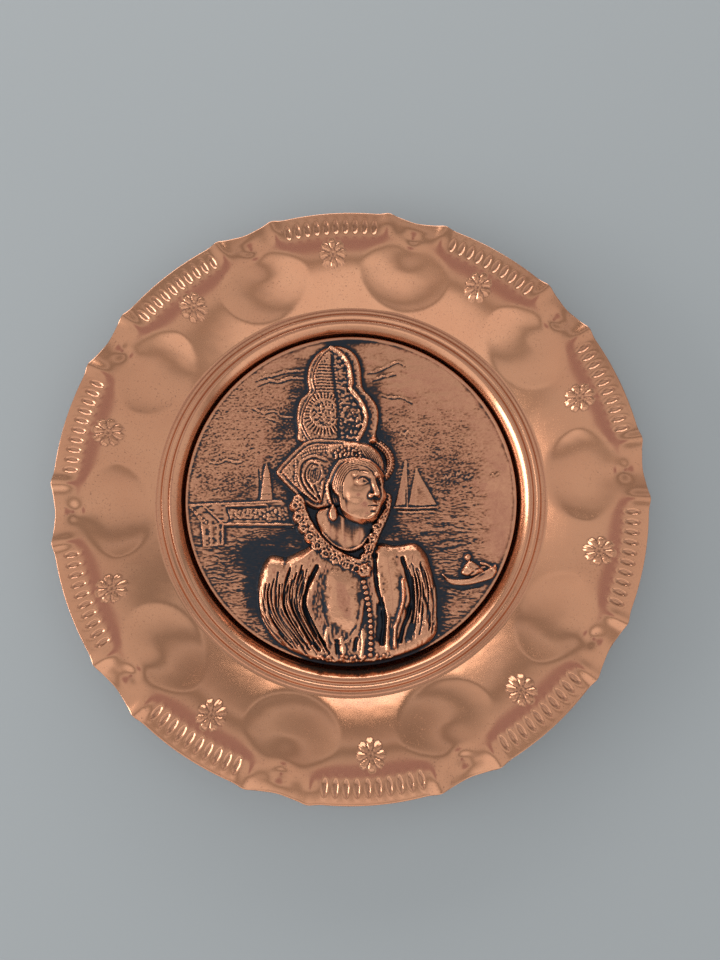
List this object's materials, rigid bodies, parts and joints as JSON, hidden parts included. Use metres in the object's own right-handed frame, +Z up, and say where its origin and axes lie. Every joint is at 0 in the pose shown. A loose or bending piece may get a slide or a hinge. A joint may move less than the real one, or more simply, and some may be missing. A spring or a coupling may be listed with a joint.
{
  "type": "decorative wall plate",
  "caption": "Round pressed copper wall plate with a wide fluted and stamped rim, a patinated relief medallion set in its well, and a hanging ring behind the rim.",
  "frame": {"origin": "centre of the flat underside of the well, on the surface the plate lies on", "axes": "+Z up out of the well, through the relief; +Y to the top of the picture, where the hanging ring is; +X to the picture's right"},
  "size_m": [0.27, 0.27, 0.0251],
  "materials": {
    "satin_copper": "satin copper with a light lacquer, faint brushing and fine dark specks",
    "patinated_copper": "polished on the raised parts, blue-black patina in the recesses",
    "strap_copper": "dull unlacquered copper strip",
    "brass_wire": "aged drawn wire",
    "solder": "dull soft solder",
    "hardboard": "raw hardboard",
    "mastic": "dried adhesive"
  },
  "bodies": {
    "plate": {"dish": "satin_copper", "mastic_bed": "mastic", "backing_board": "hardboard", "relief_medallion": "patinated_copper", "solder_pad": "solder", "hanger_strap": "strap_copper"},
    "ring": {"hanging_ring": "brass_wire"}
  },
  "joints": [
    {"name": "ring_swing", "type": "hinge", "parent": "plate", "child": "ring", "pos_m": [0, 0.1155, 0.01897], "axis": [1, 0, 0], "range_deg": [-60, 90]}
  ]
}
